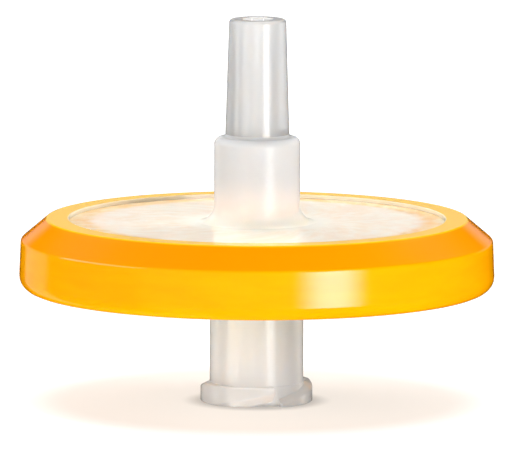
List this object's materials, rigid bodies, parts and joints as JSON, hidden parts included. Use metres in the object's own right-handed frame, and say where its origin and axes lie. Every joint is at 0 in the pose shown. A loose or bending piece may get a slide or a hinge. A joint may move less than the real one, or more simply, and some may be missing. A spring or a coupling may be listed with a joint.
{
  "type": "syringe filter",
  "caption": "Round disc filter for a syringe: female Luer lock inlet, male Luer slip outlet, membrane in a clear housing, coloured moulded ring.",
  "frame": {"origin": "centre of the inlet's mouth, the face that the filter stands on", "axes": "+Z along the flow axis, from the inlet socket towards the outlet tip; the thread lugs' gaps face -Y and +Y"},
  "size_m": [0.033, 0.033, 0.0267],
  "materials": {
    "housing": "natural translucent polypropylene, glossy moulded",
    "ring": "orange-yellow moulded plastic, glossy",
    "membrane": "white porous polymer film, matt"
  },
  "bodies": {
    "root": {"inlet_housing": "housing", "outlet_housing": "housing", "overmould_ring": "ring", "filter_membrane": "membrane"}
  },
  "joints": []
}
